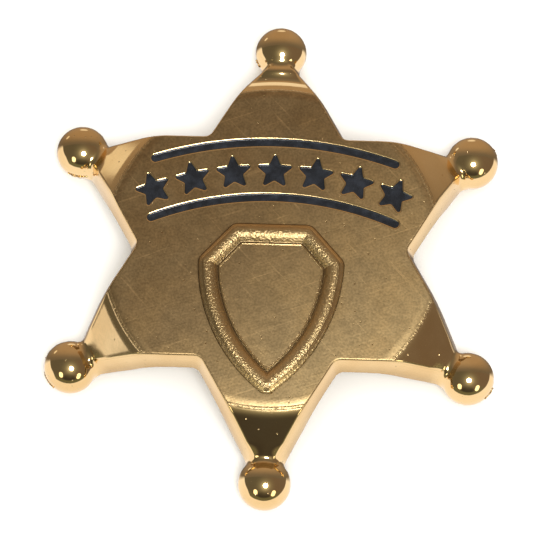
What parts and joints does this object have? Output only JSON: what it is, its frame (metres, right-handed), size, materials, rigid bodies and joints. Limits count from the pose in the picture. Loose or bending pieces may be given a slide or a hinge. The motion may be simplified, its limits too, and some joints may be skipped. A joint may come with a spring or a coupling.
{
  "type": "sheriff star badge",
  "caption": "Six-pointed metal star badge with fallen tips that end in balls, a raised shield frame, black enamel inlays on an arc and a pin clasp behind.",
  "frame": {"origin": "on the surface that the balls stand on, under the middle of the star", "axes": "+Z out of the face, +Y towards the arm above the enamel, +X to the right of someone who looks at the face"},
  "size_m": [0.0668, 0.076, 0.013],
  "materials": {
    "gold_plate": "polished gold plating on a zinc die casting, with fine pits and scratches",
    "black_enamel": "glossy black enamel, poured into recesses",
    "nickel_steel": "nickel-plated steel, drawn and stamped"
  },
  "bodies": {
    "root": {"star_body": "gold_plate", "enamel_star_1": "black_enamel", "enamel_star_2": "black_enamel", "enamel_star_3": "black_enamel", "enamel_star_4": "black_enamel", "enamel_star_5": "black_enamel", "enamel_star_6": "black_enamel", "enamel_star_7": "black_enamel", "enamel_line_upper": "black_enamel", "enamel_line_lower": "black_enamel", "pin_clasp": "nickel_steel"}
  },
  "joints": []
}
